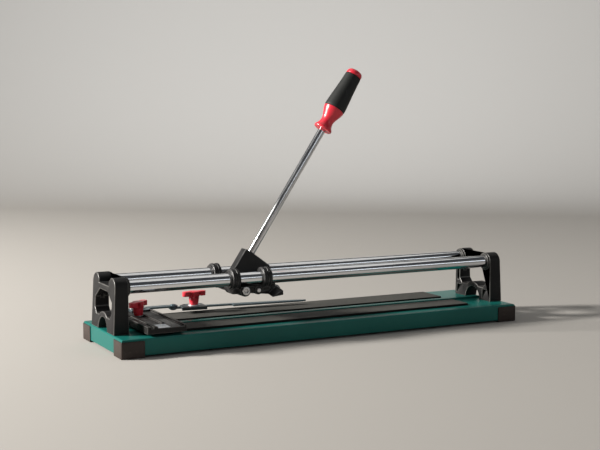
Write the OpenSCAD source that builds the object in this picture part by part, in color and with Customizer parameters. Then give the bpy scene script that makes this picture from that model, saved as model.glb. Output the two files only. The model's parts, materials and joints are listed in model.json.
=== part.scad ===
// Manual two-rail tile cutter.
// Millimetres, +Z up, X along the rails, Y from the near side to the far side.
// The origin is on the table under the middle of the base.
// The modules measure from the near left corner foot; place() moves them to the origin.

/* [Base] */
// Overall length over the corner feet
base_length = 620; // [560:1:760]
// Overall width over the corner feet
base_width = 160; // [150:1:210]
// Height of the tray's top face above the table
tray_top = 25; // [22:0.5:34]
// Thickness of the pressed steel tray
sheet = 1.5; // [1:0.1:2]
// Height of the gap under the tray's flanges
flange_gap = 3; // [2:0.5:5]
// Length of one corner foot along the rails
foot_x = 32; // [26:1:45]
// Length of one corner foot across the tray
foot_y = 31; // [24:1:40]

/* [Pads] */
// Thickness of a rubber pad
pad_t = 3.2; // [2:0.1:4.2]
// Bare tray left at each end of the pads
pad_end = 70; // [66:1:90]
// Width of the breaking rib
rib_w = 10; // [8:0.5:14]

/* [Rails] */
// Radius of a guide rail
rail_r = 9; // [8:0.5:10]
// Distance between the two rail axes
rail_gap = 64; // [60:1:84]
// Height of the rail axes above the tray's top face
rail_rise = 60.5; // [60:0.5:80]

/* [Brackets] */
// Depth of an end bracket along the rails
bracket_depth = 21.4; // [20:0.2:24]
// Distance from the end of the base to the bracket's outer face
bracket_inset = 1.6; // [1:0.2:5]
// Radius of the rounded hump over each rail end
hump_r = 13; // [12.5:0.5:15]

/* [Carriage] */
// Length of the carriage casting
carriage_length = 59; // [57:1:76]
// Length of one rail ring
ring_length = 12.5; // [11:0.5:16]
// Where the middle of the carriage rests along the base
carriage_x = 201; // [180:1:260]

/* [Lever] */
// Lean of the handle away from upright, in degrees
lever_lean = 33.5; // [20:0.5:40]
// Length of bare rod between the block and the grip
rod_free = 203; // [150:1:260]
// Radius of the handle rod
rod_r = 5.3; // [4.5:0.1:6]
// Length of the grip with its end cap
grip_length = 100; // [90:1:125]
// Largest radius of the grip
grip_r = 15.3; // [13.5:0.1:17]
// Radius of the scoring wheel
wheel_r = 8.5; // [7:0.5:9]

/* [Fence] */
// Length of the end fence across the base
fence_length = 150; // [140:1:152]
// Width of the end fence
fence_w = 54; // [46:1:56]
// Height of the fence's ribs above the pads
fence_rise = 9.8; // [9:0.2:12]

/* [Guide arm] */
// Length of the guide arm from its pivot to its tip
arm_length = 202; // [160:1:300]
// Width of the guide arm between its pivot and its step
arm_w = 8; // [7:0.5:9]
// Overall width of a winged knob
knob_w = 36; // [28:1:38]

/* [Hidden] */
$fn = 64;
eps = 0.01;
press = 0.02;
running = 0.05;
air = 0.3;
mid_y = base_width / 2;
near_y = mid_y - rail_gap / 2;
far_y = mid_y + rail_gap / 2;
rail_z = tray_top + rail_rise;
rail_end = bracket_inset + 5.4;
bracket_draft = 3.4;
tray_in = 1.2;
cap_top = tray_top - 2.8;
pad_top = tray_top + pad_t;
pad_margin = 24;
far_margin = 14;
pad_slot = 30;
screw_r = 2.5;
screw_y = 32;
screw_u = 10.9;
bush_r = rail_r + 2;
collar_r = bush_r + 3.5;
pivot_x = carriage_x - 10.3;
pivot_z = rail_z - 15.2;
pivot_r = 4;
play_x = carriage_x + 10.6;
web_bottom = rail_z - collar_r - 4.5;
play_z = web_bottom + 3;
web_top = rail_z - rail_r - 1;
web_half = 6;
lever_half = 7.5;
boss_inner = lever_half + 1.3;
boss_outer = rail_gap / 2 + 12;
socket_x = pivot_x + 29.5;
socket_z = pivot_z + 47.5;
socket_depth = 30;
wheel_x = pivot_x + 66.3;
wheel_z = pivot_z - 9.8;
wheel_half = 1;
axle_r = 2.5;
foot_half = 32;
foot_drop = 11;
wing_gap = 11;
fence_x = 38;
fence_y = 6;
fence_bottom = pad_top + air;
fence_top = pad_top + fence_rise;
fence_deck = fence_top - 2.5;
bolt_x = 60;
bolt_y = mid_y + 22;
bolt_r = 3;
arm_x = 131;
arm_y = base_width - 7;
arm_turn = -5.9;
arm_eye_r = 6.5;
arm_bottom = fence_deck - 3.1;
arm_t = 2.5;
link_bottom = arm_bottom + arm_t + air;
link_top = link_bottom + 2.5;
rivet_r = 2.5;
plate_t = 2.1;
plate_near = -23;
plate_right = 44;
lip_t = 2;
arm_knob_x = 28;
arm_knob_y = -10;

// Which piece to draw

// ---- shapes used by several pieces ----

// A bar along X whose two top edges are rounded.
module rounded_bar(length, width, height, r) {
    cube([length, width, height - r]);
    translate([0, r, 0])
        cube([length, width - 2 * r, height]);
    for (y = [r, width - r])
        translate([0, y, height - r])
            rotate([0, 90, 0])
                cylinder(h = length, r = r);
}

// A box open below, with all four top edges rounded.
module tray_block(length, width, height, r) {
    intersection() {
        rounded_bar(length, width, height, r);
        translate([length, 0, 0])
            rotate([0, 0, 90])
                rounded_bar(width, length, height, r);
    }
}

// A cylinder along Y from y0 to y1.
module rod_y(x, z, r, y0, y1) {
    translate([x, y0, z])
        rotate([-90, 0, 0])
            cylinder(h = y1 - y0, r = r);
}

// A cylinder along X from x0 to x1.
module rod_x(y, z, r, x0, x1) {
    translate([x0, y, z])
        rotate([0, 90, 0])
            cylinder(h = x1 - x0, r = r);
}

// Repeats a near side shape on the far side.
module both_sides() {
    children();
    translate([0, base_width, 0])
        mirror([0, 1, 0])
            children();
}

// Repeats a left end shape on the right end.
module both_ends() {
    children();
    translate([base_length, 0, 0])
        mirror([1, 0, 0])
            children();
}

// A profile in X and Z given thickness along Y.
module plate_y(y0, y1) {
    translate([0, y1, 0])
        rotate([90, 0, 0])
            linear_extrude(height = y1 - y0)
                children();
}

// Moves a piece from the corner datum to the origin.
module place() {
    translate([-base_length / 2, -base_width / 2, 0])
        children();
}

// ---- base ----

// Pressed tray: one folded sheet, holed for the bracket screws and the fence bolt.
module base_tray() {
    color([0.05, 0.36, 0.33])
        difference() {
            translate([tray_in, tray_in, flange_gap])
                tray_block(base_length - 2 * tray_in, base_width - 2 * tray_in, tray_top - flange_gap, 2.5);
            translate([tray_in + sheet, tray_in + sheet, flange_gap - 1])
                tray_block(base_length - 2 * (tray_in + sheet), base_width - 2 * (tray_in + sheet),
                    tray_top - flange_gap - sheet + 1, 1);
            both_ends()
                for (s = [-1, 1])
                    translate([bracket_inset + screw_u, mid_y + s * screw_y, tray_top - 4])
                        cylinder(h = 8, r = screw_r + press);
            translate([bolt_x, bolt_y, tray_top - 4])
                cylinder(h = 8, r = bolt_r + press);
        }
}

// Breaking rib: a low rounded strip along the middle, welded to the tray.
module breaking_rib() {
    color([0.05, 0.36, 0.33])
        translate([12, mid_y - rib_w / 2, tray_top])
            rounded_bar(base_length - 24, rib_w, pad_t - 0.4, 1.2);
}

// One rubber pad between two y values, square cut all round.
module pad(y0, y1) {
    color([0.2, 0.2, 0.19])
        translate([pad_end, y0, tray_top])
            cube([base_length - 2 * pad_end, y1 - y0, pad_t]);
}

module near_pad() {
    pad(pad_margin, mid_y - pad_slot / 2);
}

module far_pad() {
    pad(mid_y + pad_slot / 2, base_width - far_margin);
}

// Corner foot: a plastic cap that wraps the corner and grips both flanges.
module corner_foot() {
    slot = tray_in + sheet;
    wall = 2.2;
    color([0.09, 0.08, 0.08])
        difference() {
            union() {
                translate([2, 0, 0])
                    cube([foot_x - 2, foot_y, cap_top]);
                translate([0, 2, 0])
                    cube([foot_x, foot_y - 2, cap_top]);
                translate([2, 2, 0])
                    cylinder(h = cap_top, r = 2);
            }
            translate([tray_in, tray_in, flange_gap])
                cube([foot_x, foot_y, cap_top]);
            translate([slot + wall, slot + wall, 1.6])
                cube([foot_x, foot_y, cap_top]);
        }
    color([0.09, 0.08, 0.08])
        difference() {
            translate([slot, slot, flange_gap - eps])
                cube([foot_x - slot, foot_y - slot, cap_top - flange_gap - 3]);
            translate([slot + wall, slot + wall, 0])
                cube([foot_x, foot_y, cap_top]);
        }
}

module corner_foot_near_left() {
    corner_foot();
}

module corner_foot_near_right() {
    translate([base_length, 0, 0])
        mirror([1, 0, 0])
            corner_foot();
}

module corner_foot_far_left() {
    translate([0, base_width, 0])
        mirror([0, 1, 0])
            corner_foot();
}

module corner_foot_far_right() {
    translate([base_length, base_width, 0])
        rotate([0, 0, 180])
            corner_foot();
}

// ---- end brackets ----

// Outline of a bracket across the rails; z counts from the tray's top face.
module bracket_outline() {
    half = rail_gap / 2 + hump_r;
    polygon([[-half - 1, 0], [half + 1, 0], [half, rail_rise], [-half, rail_rise]]);
    for (s = [-1, 1])
        translate([s * rail_gap / 2, rail_rise])
            circle(r = hump_r);
    translate([-rail_gap / 2, 0])
        square([rail_gap, rail_rise + 1]);
}

// The big opening above the arch.
module bracket_window() {
    top = rail_rise - 7;
    side = rail_gap / 2 + 1.5;
    difference() {
        polygon([
            [-16, top], [16, top], [side, top - 12.5], [side, 27],
            [27, 19.5], [-27, 19.5], [-side, 27], [-side, top - 12.5]
        ]);
        circle(r = 25);
    }
}

// End bracket at the left end: plate with a drafted outer face, humps, arch, sockets and screw holes.
module bracket() {
    color([0.07, 0.07, 0.075])
        translate([bracket_inset, mid_y, tray_top])
            difference() {
                union() {
                    rotate([90, 0, 90])
                        linear_extrude(height = bracket_depth)
                            bracket_outline();
                    for (s = [-1, 1])
                        translate([0, s * rail_gap / 2, rail_rise])
                            rotate([0, 90, 0])
                                cylinder(h = bracket_depth + 3.5, r = hump_r - 1);
                }
                translate([-1, 0, 0])
                    rotate([90, 0, 90])
                        linear_extrude(height = bracket_depth + 2)
                            bracket_window();
                translate([-1, 0, 0])
                    rotate([0, 90, 0])
                        cylinder(h = bracket_depth + 2, r = 18);
                translate([0, hump_r + rail_gap, 0])
                    rotate([90, 0, 0])
                        linear_extrude(height = 2 * (hump_r + rail_gap))
                            polygon([
                                [-2, 0], [0, 0], [bracket_draft, rail_rise + hump_r + 1],
                                [-2, rail_rise + hump_r + 1]
                            ]);
                for (s = [-1, 1]) {
                    translate([rail_end - bracket_inset, s * rail_gap / 2, rail_rise])
                        rotate([0, 90, 0])
                            cylinder(h = bracket_depth + 10, r = rail_r + press);
                    translate([screw_u, s * screw_y, -1])
                        cylinder(h = 14.5, r = screw_r);
                    translate([screw_u + 1, s * rail_gap / 2, rail_rise - 22])
                        cylinder(h = 16, r = screw_r);
                    bracket_leg_pocket(s);
                    bracket_foot_pocket(s);
                }
            }
}

// Slot moulded into the inner side of one leg.
module bracket_leg_pocket(s) {
    y0 = rail_gap / 2 + 4;
    translate([6, s > 0 ? y0 : -y0 - 5, 24])
        cube([bracket_depth, 5, rail_rise - 40]);
}

// Pocket over one foot block, leaving the block with a sloping inner face.
module bracket_foot_pocket(s) {
    y0 = s > 0 ? 26 : -41;
    translate([0, y0 + 15, 0])
        rotate([90, 0, 0])
            linear_extrude(height = 15)
                polygon([
                    [bracket_depth + 1, 2.5], [bracket_depth, 2.5], [bracket_depth - 6, 14],
                    [bracket_depth - 6, 16.5], [bracket_depth + 1, 16.5]
                ]);
}

module left_bracket() {
    bracket();
}

module right_bracket() {
    translate([base_length, 0, 0])
        mirror([1, 0, 0])
            bracket();
}

// Four screws driven up through the tray into the bracket feet.
module bracket_screws() {
    color([0.6, 0.6, 0.62])
        both_ends()
            for (s = [-1, 1])
                translate([bracket_inset + screw_u, mid_y + s * screw_y, 0]) {
                    translate([0, 0, tray_top - sheet - 3.5])
                        cylinder(h = 3.5, r = 5);
                    translate([0, 0, tray_top - sheet - eps])
                        cylinder(h = 13 + sheet, r = screw_r);
                }
}

// Four grub screws that lock the rails in their sockets from below.
module rail_lock_screws() {
    color([0.3, 0.3, 0.31])
        both_ends()
            for (y = [near_y, far_y])
                translate([bracket_inset + screw_u + 1, y, rail_z - rail_r - 7])
                    cylinder(h = 7, r = screw_r);
}

// ---- rails ----

// One chromed steel rail, its ends inside the brackets.
module rail(y) {
    color([0.82, 0.83, 0.85])
        rod_x(y, rail_z, rail_r, rail_end, base_length - rail_end);
}

module near_rail() {
    rail(near_y);
}

module far_rail() {
    rail(far_y);
}

// ---- carriage ----

// Middle of the left ring or the right ring along X.
function ring_mid(k) = carriage_x + k * (carriage_length - ring_length) / 2;

// One side of the carriage: two rings on a rail and the web that joins them below.
module carriage_side() {
    x0 = carriage_x - carriage_length / 2;
    difference() {
        union() {
            for (k = [-1, 1]) {
                x = ring_mid(k) - ring_length / 2;
                rod_x(near_y, rail_z, collar_r - 1.5, x, x + ring_length);
                rod_x(near_y, rail_z, collar_r, x + 1, x + 5);
                rod_x(near_y, rail_z, collar_r, x + ring_length - 5, x + ring_length - 1);
                translate([x + 1, near_y - 8, web_bottom + 2])
                    cube([ring_length - 2, 16, rail_z - web_bottom - 10]);
            }
            translate([x0 + 2, near_y - web_half, web_bottom])
                cube([carriage_length - 4, 2 * web_half, web_top - web_bottom]);
            rod_y(pivot_x, pivot_z, 8, mid_y - boss_outer, mid_y - boss_inner);
            rod_y(play_x, play_z, 6, mid_y - boss_outer + 3, near_y + web_half);
            rod_y(x0 + 7, web_bottom + 4.5, 5, near_y - 8.5, near_y + web_half);
        }
        rod_x(near_y, rail_z, bush_r + press, x0 - 1, x0 + carriage_length + 1);
        rod_y(pivot_x, pivot_z, pivot_r + press, 0, mid_y);
        rod_y(play_x, play_z, screw_r + press, 0, near_y + 2);
        translate([ring_mid(-1) + ring_length / 2, near_y - 20, web_top])
            cube([ring_mid(1) - ring_mid(-1) - ring_length, 40, 30]);
    }
}

// Carriage: both sides and the bar that joins them behind the lever.
module carriage_body() {
    x0 = carriage_x - carriage_length / 2;
    color([0.06, 0.06, 0.065]) {
        both_sides()
            carriage_side();
        translate([x0 + 2, near_y + bush_r + 1.2, rail_z - 8])
            cube([5, rail_gap - 2 * (bush_r + 1.2), 6]);
    }
}

// Four plain bushes, one in each ring, flanged on their outer ends.
module rail_bushes() {
    color([0.16, 0.16, 0.17])
        for (y = [near_y, far_y], k = [-1, 1]) {
            x = ring_mid(k);
            out = x + k * ring_length / 2;
            difference() {
                union() {
                    rod_x(y, rail_z, bush_r, x - ring_length / 2, x + ring_length / 2);
                    rod_x(y, rail_z, bush_r + 1.4, min(out, out + k * 1.5), max(out, out + k * 1.5));
                }
                rod_x(y, rail_z, rail_r + running, x - ring_length, x + ring_length);
            }
        }
}

// Two short screws that take up play, one in each side of the carriage.
module play_screws() {
    head = mid_y - boss_outer + 3;
    color([0.62, 0.62, 0.64])
        both_sides() {
            rod_y(play_x, play_z, 2.8, head - 2, head);
            rod_y(play_x, play_z, screw_r, head - eps, near_y + 2);
        }
}

// Pivot bolt of the lever: round head near, shank through both sides.
module lever_bolt() {
    color([0.72, 0.72, 0.74])
        difference() {
            union() {
                rod_y(pivot_x, pivot_z, 5.6, mid_y - boss_outer - 3, mid_y - boss_outer);
                rod_y(pivot_x, pivot_z, pivot_r, mid_y - boss_outer - eps, mid_y + boss_outer + 7);
            }
            translate([pivot_x, mid_y - boss_outer - 3 - eps, pivot_z])
                rotate([-90, 0, 0])
                    cylinder(h = 2, r = 2.9, $fn = 6);
        }
}

module lever_nut() {
    color([0.72, 0.72, 0.74])
        difference() {
            translate([pivot_x, mid_y + boss_outer, pivot_z])
                rotate([-90, 0, 0])
                    cylinder(h = 6, r = 7.5, $fn = 6);
            rod_y(pivot_x, pivot_z, pivot_r + press, mid_y, mid_y + 2 * boss_outer);
        }
}

// Two thrust washers between the carriage bosses and the lever hub.
module lever_washers() {
    color([0.75, 0.75, 0.77])
        both_sides()
            difference() {
                rod_y(pivot_x, pivot_z, 7.5, mid_y - boss_inner, mid_y - boss_inner + 1);
                rod_y(pivot_x, pivot_z, pivot_r + press, 0, mid_y);
            }
}

// ---- lever ----

// Puts a shape drawn along Z onto the leaning axis of the rod, z = 0 at the block's mouth.
module on_rod_axis() {
    translate([socket_x, mid_y, socket_z])
        rotate([0, lever_lean, 0])
            children();
}

// Lever block: hub, slanted socket for the rod, and the arm that carries foot and wheel.
module lever_block() {
    arm_end = wheel_x - pivot_x;
    color([0.08, 0.08, 0.085])
        difference() {
            union() {
                plate_y(mid_y - lever_half, mid_y + lever_half)
                    translate([pivot_x, pivot_z])
                        polygon([
                            [-8, 6], [-9.5, 11.5], [17.6, 52.7], [25.9, 48.5], [53.8, 28],
                            [57, 23.5], [54, 19], [34, 17], [36, 5], [47, -0.8], [62, -0.8],
                            [arm_end, -4.3], [arm_end, -15.3], [50, -13], [5, -8]
                        ]);
                rod_y(pivot_x, pivot_z, 10, mid_y - lever_half, mid_y + lever_half);
                rod_y(wheel_x, wheel_z, 5.5, mid_y - lever_half, mid_y + lever_half);
            }
            rod_y(pivot_x, pivot_z, pivot_r + running, 0, base_width);
            rod_y(wheel_x, wheel_z, axle_r + press, 0, base_width);
            rod_y(wheel_x, wheel_z, wheel_r + 1.5, mid_y - wheel_half - 0.5, mid_y + wheel_half + 0.5);
            on_rod_axis()
                translate([0, 0, -socket_depth])
                    cylinder(h = socket_depth + 20, r = rod_r + press);
            translate([pivot_x + 53.5, mid_y, pivot_z - 9])
                cylinder(h = 12, r = 2 + press);
            on_rod_axis()
                translate([0, 0, -socket_depth / 2])
                    rotate([-90, 0, 0])
                        cylinder(h = lever_half + 1, r = 2 + press);
        }
}

// Chromed handle rod, held in the block and in the grip.
module lever_rod() {
    color([0.82, 0.83, 0.85])
        on_rod_axis()
            translate([0, 0, -socket_depth])
                cylinder(h = socket_depth + rod_free + grip_length - 15, r = rod_r);
}

// Set screw that pins the rod in the block from the far side.
module rod_set_screw() {
    color([0.3, 0.3, 0.31])
        difference() {
            on_rod_axis()
                translate([0, 0, -socket_depth / 2])
                    rotate([-90, 0, 0])
                        cylinder(h = lever_half, r = 2);
            on_rod_axis()
                translate([0, 0, -socket_depth])
                    cylinder(h = socket_depth, r = rod_r + press);
        }
}

// Red core of the grip: flared collar, waist, swelling shoulder and the spigot for the sleeve.
module grip_core() {
    color([0.78, 0.08, 0.13])
        on_rod_axis()
            translate([0, 0, rod_free])
                difference() {
                    union() {
                        rotate_extrude()
                            polygon([
                                [0, 0], [12.6, 0], [13.4, 1.5], [13.2, 3.5], [11, 6.5], [9.6, 10],
                                [9.2, 14], [9.8, 18], [11.6, 23], [13.8, 28.5], [grip_r, 34.3], [0, 34.3]
                            ]);
                        translate([0, 0, 34])
                            cylinder(h = grip_length - 43, r = 8);
                    }
                    translate([0, 0, -1])
                        cylinder(h = grip_length - 14, r = rod_r + press);
                }
}

// Soft black sleeve, tapering towards the cap.
module grip_sleeve() {
    top = grip_length - 9;
    color([0.08, 0.09, 0.09])
        on_rod_axis()
            translate([0, 0, rod_free])
                difference() {
                    rotate_extrude()
                        polygon([
                            [0, 34.3], [grip_r, 34.3], [grip_r + 0.3, 38], [grip_r - 0.2, 46],
                            [13.6, top - 27], [12.5, top - 12], [11.9, top], [0, top]
                        ]);
                    translate([0, 0, 30])
                        cylinder(h = grip_length, r = 8 + press);
                }
}

// Red domed cap closing the end of the grip.
module grip_cap() {
    top = grip_length - 9;
    color([0.78, 0.08, 0.13])
        on_rod_axis()
            translate([0, 0, rod_free])
                rotate_extrude()
                    polygon([
                        [0, top], [11.7, top], [11.7, top + 3.5], [10.9, top + 6],
                        [9, top + 7.9], [6, top + 8.8], [0, grip_length]
                    ]);
}

// One wing of the breaker foot, sloping down as it runs outwards.
module foot_wing() {
    translate([0, mid_y - wing_gap, pivot_z])
        rotate([foot_drop, 0, 0])
            plate_y(wing_gap - foot_half, 0)
                foot_section();
}

module foot_section() {
    translate([pivot_x, 0])
        polygon([[47.6, -10.4], [62, -1.2], [63.8, -1.5], [64.8, -8.2]]);
}

// Breaker foot: two wings hung from a saddle that sits on the lever's arm.
module breaker_foot() {
    saddle = pivot_z - 0.8;
    color([0.08, 0.08, 0.085])
        difference() {
            union() {
                both_sides() {
                    foot_wing();
                    translate([pivot_x + 51, mid_y - 14, saddle - 8])
                        cube([9, 14 - wing_gap, 9]);
                }
                translate([pivot_x + 48, mid_y - 14, saddle])
                    cube([12, 28, 4]);
            }
            translate([pivot_x + 53.5, mid_y, saddle - 1])
                cylinder(h = 8, r = 2 + press);
        }
}

module foot_screw() {
    color([0.62, 0.62, 0.64])
        translate([pivot_x + 53.5, mid_y, pivot_z + 3.2]) {
            cylinder(h = 2.6, r = 4);
            translate([0, 0, -12])
                cylinder(h = 12 + eps, r = 2);
        }
}

// ---- scoring wheel ----

module wheel_axle() {
    color([0.7, 0.7, 0.72]) {
        rod_y(wheel_x, wheel_z, axle_r, mid_y - lever_half, mid_y + lever_half);
        rod_y(wheel_x, wheel_z, 3.6, mid_y - lever_half - 1.2, mid_y - lever_half);
        rod_y(wheel_x, wheel_z, 3.6, mid_y + lever_half, mid_y + lever_half + 1.2);
    }
}

// Hard metal wheel, ground to an edge all round.
module scoring_wheel() {
    bore = axle_r + running;
    color([0.6, 0.61, 0.63])
        translate([wheel_x, mid_y, wheel_z])
            rotate([90, 0, 0])
                rotate_extrude()
                    polygon([
                        [bore, -wheel_half], [wheel_r - 1.6, -wheel_half], [wheel_r, 0],
                        [wheel_r - 1.6, wheel_half], [bore, wheel_half]
                    ]);
}

// ---- fence ----

// End fence: a ribbed plastic bar across the base.
module fence_body() {
    color([0.12, 0.12, 0.12])
        difference() {
            union() {
                translate([fence_x, fence_y, fence_bottom])
                    cube([fence_w, fence_length, fence_deck - fence_bottom]);
                for (x = [0, 8.5])
                    translate([fence_x + x, fence_y, fence_deck - eps])
                        cube([5.5, fence_length, 2.5]);
                translate([fence_x + 29, fence_y + 26, fence_deck - eps])
                    cube([4, fence_length - 26, 2.5]);
                translate([fence_x + fence_w - 3, fence_y, fence_deck - eps])
                    cube([3, fence_length, 2.5]);
            }
            translate([bolt_x, bolt_y, 0])
                cylinder(h = 60, r = bolt_r + running);
            translate([fence_x + 34, fence_y + 2, fence_deck - 1])
                cube([14, 60, 5]);
            translate([fence_x + 23, fence_y + fence_length - 22.5, link_bottom])
                cube([fence_w, 30, 10]);
            link_screw_places()
                translate([0, 0, link_bottom - 6])
                    cylinder(h = 10, r = 1.5);
        }
}

// Ruled strip let into the top of the fence.
module fence_scale() {
    color([0.75, 0.75, 0.72])
        translate([fence_x + 34, fence_y + 2, fence_deck - 1])
            cube([14, 60, 1]);
}

// Small bright steel plate at the near end of the fence.
module fence_plate() {
    color([0.75, 0.77, 0.8])
        translate([fence_x + 15, fence_y + 1, fence_deck])
            cube([17, 22, 0.8]);
}

// Bolt that comes up through the tray; the fence turns on it.
module fence_bolt() {
    color([0.62, 0.62, 0.64])
        translate([bolt_x, bolt_y, 0]) {
            translate([0, 0, tray_top - sheet - 3])
                cylinder(h = 3, r = 6.5);
            translate([0, 0, tray_top - sheet - eps])
                cylinder(h = fence_deck - tray_top + sheet + 16, r = bolt_r);
        }
}

module fence_washer() {
    color([0.7, 0.7, 0.72])
        translate([bolt_x, bolt_y, fence_deck + air])
            difference() {
                cylinder(h = 1.2, r = 6.5);
                translate([0, 0, -1])
                    cylinder(h = 4, r = bolt_r + running);
            }
}

// Winged clamping knob with a tapered stem; z = 0 is its underside.
module wing_knob(bore_r, bore_depth) {
    head_z = 12.2;
    head_h = 6.8;
    tip_r = 5;
    reach = knob_w / 2 - tip_r;
    difference() {
        union() {
            cylinder(h = head_z + 1, r1 = 6, r2 = 8);
            translate([0, 0, head_z])
                cylinder(h = head_h, r = 8);
            translate([-reach, -tip_r, head_z])
                cube([2 * reach, 2 * tip_r, head_h]);
            for (s = [-1, 1])
                translate([s * reach, 0, head_z])
                    cylinder(h = head_h, r = tip_r);
        }
        translate([0, 0, -1])
            cylinder(h = bore_depth + 1, r = bore_r);
        for (s = [-1, 1], t = [-1, 1])
            translate([s * 6.2 - 2.2, t > 0 ? 2.4 : -8.8, head_z - 2])
                cube([4.4, 6.4, head_h]);
    }
}

module fence_knob() {
    color([0.78, 0.08, 0.13])
        translate([bolt_x, bolt_y, fence_deck + air + 1.2])
            rotate([0, 0, 35])
                wing_knob(bolt_r + running, 15);
}

// ---- guide arm ----

// Steps through the places of the two screws that hold the link.
module link_screw_places() {
    for (x = [30, 46])
        translate([fence_x + x, fence_y + fence_length - 8, 0])
            children();
}

// Steel link: seated on the far end of the fence, it reaches over the arm's pivot.
module arm_link() {
    left = fence_x + 24;
    right = fence_x + fence_w;
    y0 = fence_y + fence_length - 21.5;
    far = base_width;
    color([0.3, 0.36, 0.39])
        difference() {
            translate([0, 0, link_bottom])
                linear_extrude(height = link_top - link_bottom)
                    union() {
                        polygon([
                            [left, y0], [right - 4, y0], [right, y0 + 4], [right, arm_y - 6],
                            [arm_x, arm_y - arm_eye_r], [arm_x, arm_y], [arm_x - 7, far - 1],
                            [arm_x - 9, far], [left + 20, far], [left, y0 + 18]
                        ]);
                        translate([arm_x, arm_y])
                            circle(r = arm_eye_r);
                    }
            translate([arm_x, arm_y, 0])
                cylinder(h = 60, r = rivet_r + press);
            link_screw_places()
                cylinder(h = 60, r = 1.5);
        }
}

// Two screws down through the link into the fence.
module link_screws() {
    color([0.62, 0.62, 0.64])
        link_screw_places() {
            translate([0, 0, link_bottom - 5])
                cylinder(h = link_top - link_bottom + 5 + eps, r = 1.5);
            translate([0, 0, link_top])
                cylinder(h = 1.2, r = 3);
        }
}

// Rivet the arm turns on: one head on the link, one under the arm.
module arm_rivet() {
    color([0.5, 0.53, 0.55])
        translate([arm_x, arm_y, 0]) {
            translate([0, 0, arm_bottom - air - eps])
                cylinder(h = link_top - arm_bottom + air + 2 * eps, r = rivet_r);
            translate([0, 0, arm_bottom - air - 1.2])
                cylinder(h = 1.2, r = 4);
            translate([0, 0, link_top])
                cylinder(h = 1.2, r = 4);
        }
}

// Puts a shape drawn along X onto the arm, x = 0 at its pivot.
module on_arm() {
    translate([arm_x, arm_y, arm_bottom])
        rotate([0, 0, arm_turn])
            children();
}

// Flat steel arm: a narrow neck, then a wider blade that tapers to a blunt tip.
module guide_arm() {
    step = arm_length * 0.43;
    half = arm_w / 2;
    color([0.31, 0.38, 0.42])
        on_arm()
            difference() {
                linear_extrude(height = arm_t)
                    union() {
                        polygon([
                            [0, -half], [step, -half], [step, -half - 7], [arm_length - 14, -half - 4.5],
                            [arm_length, -half - 1], [arm_length - 14, 3 - half], [step, half], [0, half]
                        ]);
                        circle(r = arm_eye_r);
                    }
                translate([0, 0, -1])
                    cylinder(h = 10, r = rivet_r + running);
            }
}

// Slider: a plate over the arm, with a folded near edge and two lips that straddle the arm's neck.
module arm_slider() {
    inner = arm_w / 2 + air;
    outer = inner + lip_t;
    base = link_bottom - arm_bottom;
    color([0.2, 0.25, 0.27])
        on_arm()
            difference() {
                union() {
                    translate([0, 0, base])
                        linear_extrude(height = plate_t)
                            polygon([
                                [7, plate_near], [plate_right, plate_near],
                                [plate_right, outer], [18, outer], [9, -2]
                            ]);
                    for (lip = [[7, plate_near], [12, -outer], [18, inner]])
                        translate([lip[0], lip[1], 0.2])
                            cube([plate_right - lip[0], lip_t, base]);
                }
                translate([arm_knob_x, arm_knob_y, -1])
                    cylinder(h = 10, r = bolt_r + press);
                translate([16.5, 0, base - eps])
                    cylinder(h = 10, r = 2.6);
            }
}

// Threaded stud fixed in the slider; its knob turns on it.
module slider_stud() {
    base = link_bottom - arm_bottom;
    color([0.75, 0.76, 0.78])
        on_arm()
            translate([arm_knob_x, arm_knob_y, base]) {
                translate([0, 0, -1.2])
                    cylinder(h = 1.2, r = 3.4);
                translate([0, 0, -eps])
                    cylinder(h = 16, r = bolt_r);
            }
}

module slider_washer() {
    color([0.78, 0.79, 0.8])
        on_arm()
            translate([arm_knob_x, arm_knob_y, link_bottom + plate_t - arm_bottom])
                difference() {
                    cylinder(h = 1.2, r = 8.5);
                    translate([0, 0, -1])
                        cylinder(h = 4, r = bolt_r + press);
                }
}

module slider_knob() {
    color([0.78, 0.08, 0.13])
        on_arm()
            translate([arm_knob_x, arm_knob_y, link_bottom + plate_t - arm_bottom + 1.2 + air])
                rotate([0, 0, 10])
                    wing_knob(bolt_r + running, 15);
}

place() base_tray();
place() breaking_rib();
place() near_pad();
place() far_pad();
place() corner_foot_near_left();
place() corner_foot_near_right();
place() corner_foot_far_left();
place() corner_foot_far_right();
place() left_bracket();
place() right_bracket();
place() bracket_screws();
place() rail_lock_screws();
place() near_rail();
place() far_rail();
place() carriage_body();
place() rail_bushes();
place() play_screws();
place() lever_bolt();
place() lever_nut();
place() lever_washers();
place() lever_block();
place() lever_rod();
place() rod_set_screw();
place() grip_core();
place() grip_sleeve();
place() grip_cap();
place() breaker_foot();
place() foot_screw();
place() wheel_axle();
place() scoring_wheel();
place() fence_body();
place() fence_scale();
place() fence_plate();
place() fence_bolt();
place() fence_washer();
place() fence_knob();
place() arm_link();
place() link_screws();
place() arm_rivet();
place() guide_arm();
place() arm_slider();
place() slider_stud();
place() slider_washer();
place() slider_knob();
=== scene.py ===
"""Manual tile cutter: the finished look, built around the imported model. Metres, same frame as the CAD."""

import json
import math

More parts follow.
